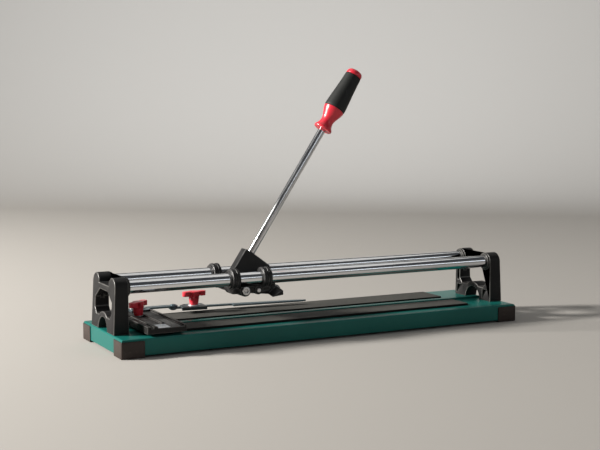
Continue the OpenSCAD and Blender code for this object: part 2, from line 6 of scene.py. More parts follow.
import bmesh
import bpy
import numpy as np
from mathutils import Matrix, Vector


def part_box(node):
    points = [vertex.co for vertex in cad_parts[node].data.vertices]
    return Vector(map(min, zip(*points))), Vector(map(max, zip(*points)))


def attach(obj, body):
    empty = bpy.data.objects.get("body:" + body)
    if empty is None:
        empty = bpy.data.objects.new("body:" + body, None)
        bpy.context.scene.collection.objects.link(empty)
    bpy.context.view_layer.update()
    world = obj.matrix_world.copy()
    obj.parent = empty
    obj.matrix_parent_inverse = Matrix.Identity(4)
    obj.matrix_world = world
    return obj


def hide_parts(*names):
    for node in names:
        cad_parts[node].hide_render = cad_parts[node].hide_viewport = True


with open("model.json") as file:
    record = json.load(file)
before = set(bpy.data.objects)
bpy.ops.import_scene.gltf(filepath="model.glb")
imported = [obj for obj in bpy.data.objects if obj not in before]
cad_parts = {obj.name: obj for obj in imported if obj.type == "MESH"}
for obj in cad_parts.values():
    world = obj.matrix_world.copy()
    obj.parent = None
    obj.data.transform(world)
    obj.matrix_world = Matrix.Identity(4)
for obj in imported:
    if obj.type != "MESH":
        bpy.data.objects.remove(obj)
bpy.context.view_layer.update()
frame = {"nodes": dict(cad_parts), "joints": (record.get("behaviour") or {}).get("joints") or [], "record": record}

# ---------------------------------------------------------------------------
# Camera and studio. A long lens stands to the left of the near side, above the
# rails, and looks slightly down. The cutter stands on a pale round cove, lit by
# a window on its left; a dim ceiling, a wash on the wall and a strip fill in.
# ---------------------------------------------------------------------------

camera = bpy.data.objects.new("camera", bpy.data.cameras.new("camera"))
bpy.context.scene.collection.objects.link(camera)
camera.data.sensor_width = 36.0
camera.data.lens = 73.8
heading, dip, roll = -27.470, 5.923, 0.113
turn = (
    Matrix.Rotation(math.radians(heading), 3, "Z")
    @ Matrix.Rotation(math.radians(90 - dip), 3, "X")
    @ Matrix.Rotation(math.radians(roll), 3, "Z")
)
camera.location = (-0.8174, -1.5465, 0.3324)
camera.rotation_euler = turn.to_euler()
camera.data.clip_end = 60.0
bpy.context.scene.camera = camera


def surface(name, points, faces, smooth=True):
    """A mesh object from an array of points and a list of faces that index it."""
    mesh = bpy.data.meshes.new(name)
    mesh.from_pydata(points.tolist(), [], [list(map(int, f)) for f in faces])
    mesh.update()
    if smooth:
        mesh.shade_smooth()
    piece = bpy.data.objects.new(name, mesh)
    bpy.context.scene.collection.objects.link(piece)
    return piece


def rings_to_faces(rings, sides):
    """Quads between each ring of points and the next: ring i, side j meets ring i + 1, side j + 1."""
    i, j = np.meshgrid(np.arange(rings - 1), np.arange(sides), indexing="ij")
    k = (j + 1) % sides
    quads = np.stack([i * sides + j, i * sides + k, (i + 1) * sides + k, (i + 1) * sides + j], -1)
    return quads.reshape(-1, 4).tolist()


cove_r, cove_h = 5.0, 2.6
cove_sides = 96
flat_floor = [[0.05, 0.0], [1.2, 0.0], [2.0, 0.0]]
bend = np.linspace(0, math.pi / 2, 24)
rising_wall = np.stack([cove_r - cove_h + cove_h * np.sin(bend), cove_h - cove_h * np.cos(bend)], 1)
cove_profile = np.concatenate([flat_floor, rising_wall])
around = np.linspace(0, 2 * math.pi, cove_sides + 1)[:-1]
cove_points = np.stack([
    cove_profile[:, :1] * np.cos(around),
    cove_profile[:, :1] * np.sin(around),
    np.repeat(cove_profile[:, 1:], cove_sides, 1),
], -1).reshape(-1, 3)
middle_disc = list(range(cove_sides - 1, -1, -1))
cove = surface("cove", cove_points, rings_to_faces(len(cove_profile), cove_sides) + [middle_disc])

paper = bpy.data.materials.new("studio_paper")
paper.use_nodes = True
paper_shader = paper.node_tree.nodes["Principled BSDF"]
paper_shader.inputs["Base Color"].default_value = (0.38, 0.365, 0.345, 1)
paper_shader.inputs["Roughness"].default_value = 0.9
cove.data.materials.append(paper)


def window(name, place, aim, width, height, watts, colour):
    """A soft rectangular light at a place, turned to face a point."""
    lamp = bpy.data.lights.new(name, "AREA")
    lamp.shape = "RECTANGLE"
    lamp.size, lamp.size_y = width, height
    lamp.energy = watts
    lamp.color = colour
    holder = bpy.data.objects.new(name, lamp)
    bpy.context.scene.collection.objects.link(holder)
    away = np.array(place, float) - np.array(aim, float)
    tilt = math.acos(away[2] / np.linalg.norm(away))
    holder.location = place
    holder.rotation_euler = (tilt, 0, math.atan2(away[1], away[0]) + math.pi / 2)


window("key_window", (-2.70, 1.05, 1.40), (0, 0, 0.05), 0.45, 0.45, 235, (1.0, 0.96, 0.90))
window("ceiling", (0.3, 0.7, 2.7), (0.1, 0.1, 0.05), 4.5, 2.6, 26, (1.0, 0.97, 0.92))
window("backdrop_wash", (0.9, 2.0, 1.9), (3.0, 5.0, 1.2), 2.0, 0.6, 70, (0.94, 0.97, 1.0))
window("front_strip", (1.3, -2.6, 1.0), (0, 0, 0.1), 4.5, 0.30, 8, (0.84, 0.92, 1.0))

sky = bpy.data.worlds.new("studio_sky")
sky.use_nodes = True
sky.node_tree.nodes["Background"].inputs["Color"].default_value = (0.78, 0.82, 0.88, 1)
sky.node_tree.nodes["Background"].inputs["Strength"].default_value = 0.07
bpy.context.scene.world = sky
bpy.context.scene.view_settings.view_transform = "Standard"

# ---------------------------------------------------------------------------
# Pressed steel tray and breaking rib. One folded sheet of steel with a rib
# welded along its middle, stove enamelled green as one piece. The enamel is
# satin, slightly uneven, with light scuffs where tiles have been slid over it.
# ---------------------------------------------------------------------------


def group(name, inputs, outputs):
    """An empty shader group with float inputs (name, default) and float outputs; its two ends come with it."""
    tree = bpy.data.node_groups.new(name, "ShaderNodeTree")
    for label, value in inputs:
        tree.interface.new_socket(label, in_out="INPUT", socket_type="NodeSocketFloat").default_value = value
    for label in outputs:
        tree.interface.new_socket(label, in_out="OUTPUT", socket_type="NodeSocketFloat")
    return tree, tree.nodes.new("NodeGroupInput"), tree.nodes.new("NodeGroupOutput")


def noise(tree, scale, detail, vector=None):
    """A noise node on Object coordinates, or on the given vector, with its scale a number or a socket."""
    node = tree.nodes.new("ShaderNodeTexNoise")
    node.inputs["Detail"].default_value = detail
    if vector is None:
        vector = tree.nodes.new("ShaderNodeTexCoord").outputs["Object"]
    tree.links.new(vector, node.inputs["Vector"])
    if isinstance(scale, (int, float)):
        node.inputs["Scale"].default_value = scale
    else:
        tree.links.new(scale, node.inputs["Scale"])
    return node.outputs["Fac"]


def spread(tree, value, low, high, to_low=0.0, to_high=1.0):
    """Maps a value from one range onto another and holds it there."""
    node = tree.nodes.new("ShaderNodeMapRange")
    tree.links.new(value, node.inputs["Value"])
    for label, number in (("From Min", low), ("From Max", high), ("To Min", to_low), ("To Max", to_high)):
        if isinstance(number, (int, float)):
            node.inputs[label].default_value = number
        else:
            tree.links.new(number, node.inputs[label])
    return node.outputs["Result"]


def stretched(tree, *scales):
    """Object coordinates multiplied along X, Y and Z by three sockets."""
    ratio = tree.nodes.new("ShaderNodeCombineXYZ")
    for axis, scale in zip("XYZ", scales):
        tree.links.new(scale, ratio.inputs[axis])
    node = tree.nodes.new("ShaderNodeMapping")
    tree.links.new(tree.nodes.new("ShaderNodeTexCoord").outputs["Object"], node.inputs["Vector"])
    tree.links.new(ratio.outputs["Vector"], node.inputs["Scale"])
    return node.outputs["Vector"]


# Noise stays near its middle, so this part of its range is spread over 0 to 1.
noise_low, noise_high = 0.3, 0.7

# Grain: a fine even pebble for moulded or sprayed surfaces, and broad clouds of slight unevenness.
grain, start, end = group(
    "Surface grain", [("Grain scale", 900.0), ("Cloud scale", 14.0)], ["Height", "Cloud"])
grain.links.new(noise(grain, start.outputs["Grain scale"], 2.0), end.inputs["Height"])
clouds = noise(grain, start.outputs["Cloud scale"], 4.0)
grain.links.new(spread(grain, clouds, noise_low, noise_high), end.inputs["Cloud"])

# Scuffs: sparse patches broken up by fine streaks, as handling and sliding leave them. A larger cover
# lowers the noise level at which a patch begins, from the rare one to the common one.
scuffs, start, end = group(
    "Scuffs", [("Patch scale", 30.0), ("Along", 1.0), ("Across", 20.0), ("Cover", 0.5)], ["Mask"])
across = start.outputs["Across"]
streaks = noise(scuffs, 40.0, 6.0, stretched(scuffs, start.outputs["Along"], across, across))
streaks = spread(scuffs, streaks, 0.52, 0.68)
rare, common, full = 0.75, 0.4, 0.85
threshold = spread(scuffs, start.outputs["Cover"], 0.0, 1.0, rare, common)
soft_patch = spread(scuffs, noise(scuffs, start.outputs["Patch scale"], 3.0), threshold, full)
both = scuffs.nodes.new("ShaderNodeMath")
both.operation = "MULTIPLY"
scuffs.links.new(streaks, both.inputs[0])
scuffs.links.new(soft_patch, both.inputs[1])
scuffs.links.new(both.outputs[0], end.inputs["Mask"])


def finish(name, roughness, metallic=0.0, coat=0.0, specular=0.5):
    """A material whose uniform values stand on its own Principled shader."""
    made = bpy.data.materials.new(name)
    made.use_nodes = True
    shader = made.node_tree.nodes["Principled BSDF"]
    shader.inputs["Roughness"].default_value = roughness
    shader.inputs["Metallic"].default_value = metallic
    shader.inputs["Coat Weight"].default_value = coat
    shader.inputs["Coat Roughness"].default_value = 0.12
    shader.inputs["Specular IOR Level"].default_value = specular
    return made


def effect(made, tree, **values):
    """Places a shader group in a material, with its own values, and returns its outputs."""
    node = made.node_tree.nodes.new("ShaderNodeGroup")
    node.node_tree = tree
    for label, value in values.items():
        node.inputs[label.replace("_", " ")].default_value = value
    return node.outputs


def colour(made, mask, low, high):
    """Base colour that goes from low to high as the mask goes from 0 to 1."""
    tree = made.node_tree
    ramp = tree.nodes.new("ShaderNodeMix")
    ramp.data_type = "RGBA"
    tree.links.new(mask, ramp.inputs["Factor"])
    ramp.inputs["A"].default_value = (*low, 1)
    ramp.inputs["B"].default_value = (*high, 1)
    tree.links.new(ramp.outputs["Result"], tree.nodes["Principled BSDF"].inputs["Base Color"])
    return ramp


def colour_over(made, below, mask, top):
    """Lays a second colour over the first wherever the mask is set."""
    tree = made.node_tree
    over = tree.nodes.new("ShaderNodeMix")
    over.data_type = "RGBA"
    tree.links.new(mask, over.inputs["Factor"])
    tree.links.new(below.outputs["Result"], over.inputs["A"])
    over.inputs["B"].default_value = (*top, 1)
    tree.links.new(over.outputs["Result"], tree.nodes["Principled BSDF"].inputs["Base Color"])


def gloss(made, mask, low, high):
    """Roughness that goes from low to high as the mask goes from 0 to 1."""
    tree = made.node_tree
    rough = spread(tree, mask, 0.0, 1.0, low, high)
    tree.links.new(rough, tree.nodes["Principled BSDF"].inputs["Roughness"])


def relief(made, height, depth, strength):
    """Bump of the given depth in metres from a height between 0 and 1."""
    tree = made.node_tree
    bump = tree.nodes.new("ShaderNodeBump")
    bump.inputs["Distance"].default_value = depth
    bump.inputs["Strength"].default_value = strength
    tree.links.new(height, bump.inputs["Height"])
    tree.links.new(bump.outputs["Normal"], tree.nodes["Principled BSDF"].inputs["Normal"])


def wear(node, skin):
    """Gives a CAD node a finished material in place of its plain ones."""
    frame["nodes"][node].data.materials.clear()
    frame["nodes"][node].data.materials.append(skin)


enamel = finish("green_stove_enamel", 0.36, coat=0.06, specular=0.2)
spray = effect(enamel, grain, Grain_scale=420.0, Cloud_scale=9.0)
rubs = effect(enamel, scuffs, Patch_scale=16.0, Along=3.0, Across=22.0, Cover=0.45)
base = colour(enamel, spray["Cloud"], (0.0050, 0.108, 0.094), (0.0070, 0.130, 0.112))
colour_over(enamel, base, rubs["Mask"], (0.022, 0.175, 0.152))
gloss(enamel, spray["Cloud"], 0.30, 0.40)
relief(enamel, spray["Height"], 0.00004, 0.5)
wear("base_tray", enamel)
wear("breaking_rib", enamel)

# ---------------------------------------------------------------------------
# Corner feet. Four moulded plastic caps pushed onto the corners of the tray,
# which grip the flanges from both sides and keep the steel off the table.
# ---------------------------------------------------------------------------

bodies = frame["record"]["behaviour"]["bodies"]


def stands_for(piece, *nodes):
    """Puts a finished piece in the place of its CAD nodes: it joins the same body, and the CAD nodes are hidden.
    """
    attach(piece, next(name for name, members in bodies.items() if nodes[0] in members))
    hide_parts(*nodes)


def softened(node, width, skin, edge_skin=None, segments=3):
    """A CAD node's shape with its seams merged and its sharp edges rounded by a width.
    The rounded strips take the edge skin where one is given."""
    seam, flat_angle, sharp_angle = 3e-6, math.radians(0.6), math.radians(30)
    form = bmesh.new()
    form.from_mesh(frame["nodes"][node].data)
    bmesh.ops.remove_doubles(form, verts=form.verts, dist=seam)
    bmesh.ops.dissolve_limit(form, angle_limit=flat_angle, verts=form.verts, edges=form.edges)
    mesh = bpy.data.meshes.new(node + "_finished")
    form.to_mesh(mesh)
    form.free()
    mesh.shade_smooth()
    mesh.materials.append(skin)
    piece = bpy.data.objects.new(node + "_finished", mesh)
    bpy.context.scene.collection.objects.link(piece)
    mesh.polygons.foreach_set("material_index", np.zeros(len(mesh.polygons), np.int32))
    bevel = piece.modifiers.new("rounded edges", "BEVEL")
    bevel.width = width
    bevel.segments = segments
    bevel.limit_method = "ANGLE"
    bevel.angle_limit = sharp_angle
    bevel.use_clamp_overlap = False
    bevel.harden_normals = True
    if edge_skin:
        mesh.materials.append(edge_skin)
        bevel.material = 1
    stands_for(piece, node)


foot_plastic = finish("foot_plastic", 0.5, specular=0.2)
pebble = effect(foot_plastic, grain, Grain_scale=1500.0, Cloud_scale=40.0)
rubs = effect(foot_plastic, scuffs, Patch_scale=60.0, Along=4.0, Across=14.0, Cover=0.6)
base = colour(foot_plastic, pebble["Cloud"], (0.034, 0.026, 0.023), (0.052, 0.040, 0.035))
colour_over(foot_plastic, base, rubs["Mask"], (0.12, 0.10, 0.09))
gloss(foot_plastic, pebble["Cloud"], 0.42, 0.58)
relief(foot_plastic, pebble["Height"], 0.00008, 0.6)
for corner in ("near_left", "near_right", "far_left", "far_right"):
    softened("corner_foot_" + corner, 0.0009, foot_plastic)

# ---------------------------------------------------------------------------
# Rubber pads. Two strips of black matting glued to the tray either side of
# the rib. The tops are greyed by tile dust; the side faces are painted near-black, darker than the rubber, as
# painted shade.
# ---------------------------------------------------------------------------


def plate(name, outline, profile):
    """A closed plate: a flat outline carried up a profile.
    The outline is an array of (x, y) taken anticlockwise. Each profile row is (inset, z): the outline moves
    inwards along its own normals by the inset and stands at height z. The first and last rings are closed."""
    ahead = np.roll(outline, -1, 0) - np.roll(outline, 1, 0)
    ahead = ahead / np.linalg.norm(ahead, axis=1, keepdims=True)
    inward = np.stack([-ahead[:, 1], ahead[:, 0]], 1)
    flat = outline[None] + profile[:, :1, None] * inward[None]
    height = np.repeat(profile[:, 1:, None], len(outline), 1)
    points = np.concatenate([flat, height], 2).reshape(-1, 3)
    sides = len(outline)
    last = (len(profile) - 1) * sides
    ends = [list(range(sides - 1, -1, -1)), list(range(last, last + sides))]
    return surface(name, points, rings_to_faces(len(profile), sides) + ends)


def rounded_rectangle(low, high, radius, steps=6):
    """Outline of a rectangle between two corners, with a quarter circle of the radius at each corner."""
    turns = np.linspace(0, math.pi / 2, steps)
    centres = np.array([[high[0] - radius, high[1] - radius], [low[0] + radius, high[1] - radius],
                        [low[0] + radius, low[1] + radius], [high[0] - radius, low[1] + radius]])
    angles = turns[None] + np.arange(4)[:, None] * math.pi / 2
    arcs = centres[:, None] + radius * np.stack([np.cos(angles), np.sin(angles)], -1)
    return arcs.reshape(-1, 2)


def rounded_rim(bottom, top, radius, steps=5):
    """Profile rows (inset, z) of a plate with a rounded upper and lower rim."""
    turns = np.linspace(0, math.pi / 2, steps)
    lower = np.stack([radius * (1 - np.sin(turns)), bottom + radius * (1 - np.cos(turns))], 1)
    upper = np.stack([radius * (1 - np.cos(turns)), top - radius * (1 - np.sin(turns))], 1)
    return np.concatenate([[[radius * 3, bottom]], lower, upper, [[radius * 3, top]]])


matting = finish("black_matting", 0.75, specular=0.2)
crumb = effect(matting, grain, Grain_scale=1100.0, Cloud_scale=11.0)
dragged = effect(matting, scuffs, Patch_scale=12.0, Along=2.0, Across=16.0, Cover=0.75)
base = colour(matting, crumb["Cloud"], (0.048, 0.048, 0.044), (0.066, 0.065, 0.060))
colour_over(matting, base, dragged["Mask"], (0.125, 0.122, 0.114))
gloss(matting, crumb["Cloud"], 0.62, 0.82)
relief(matting, crumb["Height"], 0.00012, 0.7)
# Side and under faces: a near-black copy of the matting, darker than the rubber of the tops, as painted shade.
matting_sides_painted_shade = finish("black_matting_sides_painted_shade", 0.85, specular=0.2)
side_pebble = effect(matting_sides_painted_shade, grain, Grain_scale=1400.0, Cloud_scale=60.0)
colour(matting_sides_painted_shade, side_pebble["Cloud"], (0.007, 0.007, 0.007), (0.014, 0.014, 0.013))
relief(matting_sides_painted_shade, side_pebble["Height"], 0.00015, 0.8)
pad_corner_r, pad_rim_r = 0.0012, 0.00045
for node in ("near_pad", "far_pad"):
    low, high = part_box(node)
    outline = rounded_rectangle(low, high, pad_corner_r)
    pad = plate(node + "_matting", outline, rounded_rim(low.z, high.z, pad_rim_r))
    pad.data.materials.append(matting)
    pad.data.materials.append(matting_sides_painted_shade)
    # Faces that do not face up take the painted-shade copy.
    facing_up = np.array([face.normal.z > 0.9 for face in pad.data.polygons])
    pad.data.polygons.foreach_set("material_index", np.where(facing_up, 0, 1).astype(np.int32))
    stands_for(pad, node)

# ---------------------------------------------------------------------------
# End brackets. Two identical glass-filled nylon mouldings, screwed up through
# the tray; each holds both rails in sockets under its rounded humps. The broad
# faces keep the fine pebble of the mould; the rounded rims are painted lighter
# and glossier, partly rubbed wear and partly painted highlight.
# ---------------------------------------------------------------------------

nylon = finish("bracket_nylon", 0.46, specular=0.18)
pebble = effect(nylon, grain, Grain_scale=1300.0, Cloud_scale=24.0)
rubs = effect(nylon, scuffs, Patch_scale=38.0, Along=12.0, Across=5.0, Cover=0.4)
base = colour(nylon, pebble["Cloud"], (0.0095, 0.0095, 0.0105), (0.0165, 0.016, 0.0165))
colour_over(nylon, base, rubs["Mask"], (0.065, 0.064, 0.063))
gloss(nylon, pebble["Cloud"], 0.40, 0.55)
relief(nylon, pebble["Height"], 0.00007, 0.5)
# Rim copy for the rounded edges: lighter and glossier, partly rubbed wear and partly painted highlight.
nylon_rim_wear_and_highlight = finish("bracket_nylon_rim_wear_and_painted_highlight", 0.3)
pebble = effect(nylon_rim_wear_and_highlight, grain, Grain_scale=1300.0, Cloud_scale=60.0)
colour(nylon_rim_wear_and_highlight, pebble["Cloud"], (0.040, 0.039, 0.038), (0.110, 0.107, 0.102))
gloss(nylon_rim_wear_and_highlight, pebble["Cloud"], 0.24, 0.42)
for node in ("left_bracket", "right_bracket"):
    softened(node, 0.0011, nylon, nylon_rim_wear_and_highlight)

# ---------------------------------------------------------------------------
# Fixing screws under the tray and the grub screws that lock the rails. Plain
# zinc-plated screws, driven from below, and blackened grub screws.
# ---------------------------------------------------------------------------

# Drawn lines: fine streaks along one axis, as turning or rolling leaves them on steel.
drawn, start, end = group(
    "Drawn lines", [("X scale", 1.0), ("Y scale", 40.0), ("Z scale", 40.0)], ["Height", "Shade"])
stretch = stretched(drawn, *(start.outputs[axis + " scale"] for axis in "XYZ"))
drawn.links.new(noise(drawn, 60.0, 4.0, stretch), end.inputs["Height"])
drawn.links.new(spread(drawn, noise(drawn, 8.0, 3.0, stretch), noise_low, noise_high), end.inputs["Shade"])

zinc = finish("bright_zinc", 0.3, metallic=1.0)
lines = effect(zinc, drawn, X_scale=6.0, Y_scale=6.0, Z_scale=30.0)
colour(zinc, lines["Shade"], (0.50, 0.50, 0.51), (0.72, 0.72, 0.72))
gloss(zinc, lines["Shade"], 0.22, 0.38)
relief(zinc, lines["Height"], 0.00002, 0.5)
blackened = finish("blackened_steel", 0.4, metallic=0.9)
lines = effect(blackened, drawn, X_scale=6.0, Y_scale=30.0, Z_scale=6.0)
colour(blackened, lines["Shade"], (0.03, 0.03, 0.032), (0.08, 0.08, 0.085))
gloss(blackened, lines["Shade"], 0.32, 0.5)
softened("bracket_screws", 0.0004, zinc)
wear("rail_lock_screws", blackened)

# ---------------------------------------------------------------------------
# Guide rails. Two ground steel bars, hard chromed, their rims rounded and their
# ends held in the brackets. The bushes leave faint dull streaks along them.
# ---------------------------------------------------------------------------


def turned(name, profile, foot, along, sides=96):
    """A turned piece: a profile of (distance along the axis, radius) spun about an axis.
    The axis starts at foot and points along. A point of the piece is foot, plus its distance times the axis,
    plus its radius times a spoke, which is the cosine of its angle across one side of the axis and the sine
    of it across the other. Both ends are closed flat, and a radius of 0 becomes a tiny ring."""
    tiny = 1e-6
    along = np.array(along, float) / np.linalg.norm(along)
    side = np.cross(along, (0.0, 1.0, 0.0) if abs(along[1]) < 0.9 else (1.0, 0.0, 0.0))
    side = side / np.linalg.norm(side)
    up = np.cross(along, side)
    angle = np.linspace(0, 2 * math.pi, sides + 1)[:-1]
    spokes = np.cos(angle)[:, None] * side + np.sin(angle)[:, None] * up
    rings = np.maximum(profile[:, 1], tiny)[:, None, None] * spokes[None]
    points = (np.array(foot, float) + profile[:, 0][:, None, None] * along + rings).reshape(-1, 3)
    last = (len(profile) - 1) * sides
    ends = [list(range(sides - 1, -1, -1)), list(range(last, last + sides))]
    return surface(name, points, rings_to_faces(len(profile), sides) + ends)


def rounded_bar_profile(length, radius, edge, steps=4):
    """Profile of a plain bar whose two rims are rounded by edge."""
    turns = np.linspace(0, math.pi / 2, steps)
    first = np.stack([edge * (1 - np.cos(turns)), radius - edge * (1 - np.sin(turns))], 1)
    second = np.stack([length - first[::-1, 0], first[::-1, 1]], 1)
    return np.concatenate([[[0.0, 0.3 * radius]], first, second, [[length, 0.3 * radius]]])


chrome = finish("rail_chrome", 0.1, metallic=1.0)
slides = effect(chrome, drawn, X_scale=0.6, Y_scale=30.0, Z_scale=30.0)
rubs = effect(chrome, scuffs, Patch_scale=14.0, Along=1.0, Across=30.0, Cover=0.6)
base = colour(chrome, slides["Shade"], (0.70, 0.715, 0.74), (0.80, 0.81, 0.83))
colour_over(chrome, base, rubs["Mask"], (0.60, 0.60, 0.60))
gloss(chrome, slides["Shade"], 0.08, 0.17)
relief(chrome, slides["Height"], 0.00001, 0.35)
rail_rim_r = 0.0008
for node in ("near_rail", "far_rail"):
    low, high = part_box(node)
    middle = (low + high) / 2
    profile = rounded_bar_profile(high.x - low.x, (high.z - low.z) / 2, rail_rim_r)
    rail = turned(node + "_bar", profile, (low.x, middle.y, middle.z), (1, 0, 0))
    rail.data.materials.append(chrome)
    stands_for(rail, node)

# ---------------------------------------------------------------------------
# Carriage. One light-alloy casting, powder coated black: a pair of collared
# rings round each rail, joined below by webs that carry the lever's pivot.
# ---------------------------------------------------------------------------

powder = finish("black_powder_coat", 0.44, specular=0.3)
pebble = effect(powder, grain, Grain_scale=1700.0, Cloud_scale=50.0)
rubs = effect(powder, scuffs, Patch_scale=55.0, Along=9.0, Across=9.0, Cover=0.45)
base = colour(powder, pebble["Cloud"], (0.0075, 0.0075, 0.008), (0.0125, 0.0125, 0.0135))
colour_over(powder, base, rubs["Mask"], (0.05, 0.05, 0.052))
gloss(powder, pebble["Cloud"], 0.38, 0.56)
relief(powder, pebble["Height"], 0.00006, 0.5)
# Rim copy for the rounded edges: lighter and slightly metallic, partly coat worn thin and partly painted
# highlight.
powder_rim_wear_and_highlight = finish("black_powder_coat_rim_wear_and_painted_highlight", 0.3, metallic=0.35)
pebble = effect(powder_rim_wear_and_highlight, grain, Grain_scale=1700.0, Cloud_scale=120.0)
colour(powder_rim_wear_and_highlight, pebble["Cloud"], (0.025, 0.025, 0.026), (0.11, 0.11, 0.112))
gloss(powder_rim_wear_and_highlight, pebble["Cloud"], 0.22, 0.4)
softened("carriage_body", 0.00055, powder, powder_rim_wear_and_highlight)

# ---------------------------------------------------------------------------
# Rail bushes and play screws. Plain bearing bushes of dark acetal in each
# ring; a small bright screw on each side takes up play against the rail.
# ---------------------------------------------------------------------------

acetal = finish("dark_acetal", 0.35)
pebble = effect(acetal, grain, Grain_scale=600.0, Cloud_scale=60.0)
colour(acetal, pebble["Cloud"], (0.012, 0.012, 0.013), (0.022, 0.022, 0.023))
gloss(acetal, pebble["Cloud"], 0.28, 0.42)
softened("rail_bushes", 0.0003, acetal)
softened("play_screws", 0.0005, zinc)

# ---------------------------------------------------------------------------
# Lever pivot. A socket-headed bolt goes through both sides of the carriage and
# the lever's hub, with a thrust washer each side and a nut on the far side.
# ---------------------------------------------------------------------------

softened("lever_bolt", 0.0006, zinc)
softened("lever_nut", 0.0005, zinc)
softened("lever_washers", 0.0002, zinc)

# ---------------------------------------------------------------------------
# Lever block, its grub screw and the breaker foot. The block is a powder
# coated casting that holds the rod in a slanted socket; the foot is a
# winged casting screwed under its nose, which presses on both halves of a tile.
# ---------------------------------------------------------------------------

# The rims of block and foot take the same copy with painted highlight.
softened("lever_block", 0.0012, powder, powder_rim_wear_and_highlight)
softened("breaker_foot", 0.0009, powder, powder_rim_wear_and_highlight)
wear("rod_set_screw", blackened)
softened("foot_screw", 0.0005, zinc)

# ---------------------------------------------------------------------------
# Handle rod and grip. A chromed rod pressed into the block; on it a red
# two-part plastic core and cap with a soft black sleeve moulded between them.
# ---------------------------------------------------------------------------


def smooth_through(knots, steps=8):
    """A smooth line through knots (Catmull-Rom).
    Between each two knots it is a cubic whose slopes come from their neighbours."""
    knots = np.array(knots, float)
    padded = np.concatenate([[2 * knots[0] - knots[1]], knots, [2 * knots[-1] - knots[-2]]])
    before, this, following, after = padded[:-3], padded[1:-2], padded[2:-1], padded[3:]
    t = np.linspace(0, 1, steps, endpoint=False)[None, :, None]
    line = 0.5 * (2 * this[:, None] + (following - before)[:, None] * t
                  + (2 * before - 5 * this + 4 * following - after)[:, None] * t ** 2
                  + (3 * this - before - 3 * following + after)[:, None] * t ** 3)
    return np.concatenate([line.reshape(-1, 2), knots[-1:]])


pivot = next(joint for joint in frame["joints"] if joint["name"] == "lever_swing")["pos_m"]
lean = math.radians(33.5)
rod_way = np.array((math.sin(lean), 0.0, math.cos(lean)))
socket_mouth = np.array(pivot) + (0.0295, 0.0, 0.0475)
rod_r, rod_rim_r, rod_length, rod_sunk = 0.0053, 0.0006, 0.318, 0.030
rod_foot = socket_mouth - rod_sunk * rod_way
rod = turned("handle_rod", rounded_bar_profile(rod_length, rod_r, rod_rim_r), rod_foot, rod_way)
rod_chrome = finish("rod_chrome", 0.14, metallic=1.0)
slides = effect(rod_chrome, drawn, X_scale=3.0, Y_scale=30.0, Z_scale=3.0)
colour(rod_chrome, slides["Shade"], (0.60, 0.61, 0.63), (0.74, 0.75, 0.77))
gloss(rod_chrome, slides["Shade"], 0.12, 0.24)
relief(rod_chrome, slides["Height"], 0.00001, 0.35)
rod.data.materials.append(rod_chrome)
stands_for(rod, "lever_rod")

red = finish("red_plastic", 0.34, coat=0.15)
pebble = effect(red, grain, Grain_scale=700.0, Cloud_scale=35.0)
rubs = effect(red, scuffs, Patch_scale=70.0, Along=9.0, Across=9.0, Cover=0.35)
base = colour(red, pebble["Cloud"], (0.60, 0.020, 0.040), (0.70, 0.030, 0.052))
colour_over(red, base, rubs["Mask"], (0.80, 0.12, 0.14))
gloss(red, pebble["Cloud"], 0.28, 0.42)
relief(red, pebble["Height"], 0.00004, 0.4)
bare_rod = 0.203
grip_foot = socket_mouth + bare_rod * rod_way
core = turned("grip_core_turned", smooth_through([
    [0.0, 0.0060], [0.0, 0.0120], [0.0006, 0.0129], [0.0018, 0.0134], [0.0034, 0.0131],
    [0.0062, 0.0112], [0.0100, 0.0097], [0.0140, 0.0092], [0.0180, 0.0098], [0.0230, 0.0116],
    [0.0285, 0.0138], [0.0330, 0.0151], [0.0342, 0.0150], [0.0343, 0.0130], [0.0343, 0.0080],
    [0.0600, 0.0080], [0.0905, 0.0078], [0.0908, 0.0060],
]), grip_foot, rod_way)
core.data.materials.append(red)
stands_for(core, "grip_core")

soft_touch = finish("soft_black_sleeve", 0.62, specular=0.3)
pebble = effect(soft_touch, grain, Grain_scale=1500.0, Cloud_scale=40.0)
rubs = effect(soft_touch, scuffs, Patch_scale=60.0, Along=9.0, Across=9.0, Cover=0.6)
base = colour(soft_touch, pebble["Cloud"], (0.010, 0.0115, 0.0115), (0.017, 0.0185, 0.0185))
colour_over(soft_touch, base, rubs["Mask"], (0.045, 0.047, 0.047))
gloss(soft_touch, pebble["Cloud"], 0.5, 0.7)
relief(soft_touch, pebble["Height"], 0.0001, 0.6)
sleeve = turned("grip_sleeve_turned", smooth_through([
    [0.0345, 0.0082], [0.0345, 0.0140], [0.0350, 0.0150], [0.0362, 0.01545], [0.0390, 0.01555],
    [0.0460, 0.0151], [0.0560, 0.0143], [0.0640, 0.0136], [0.0720, 0.0130], [0.0790, 0.0125],
    [0.0860, 0.0121], [0.0895, 0.01195], [0.0905, 0.0115], [0.0908, 0.0105], [0.0908, 0.0082],
]), grip_foot, rod_way)
sleeve.data.materials.append(soft_touch)
stands_for(sleeve, "grip_sleeve")

cap = turned("grip_cap_turned", smooth_through([
    [0.0912, 0.0040], [0.0912, 0.0108], [0.0917, 0.0116], [0.0930, 0.01175], [0.0945, 0.0116],
    [0.0958, 0.0112], [0.0972, 0.0104], [0.0984, 0.0090], [0.0993, 0.0069], [0.0998, 0.0040],
    [0.1000, 0.0010], [0.1000, 0.0],
]), grip_foot, rod_way)
cap.data.materials.append(red)
stands_for(cap, "grip_cap")

# ---------------------------------------------------------------------------
# Scoring wheel and axle. A small hard-metal wheel, ground to an edge, that
# spins on a headed steel pin in the nose of the lever block.
# ---------------------------------------------------------------------------

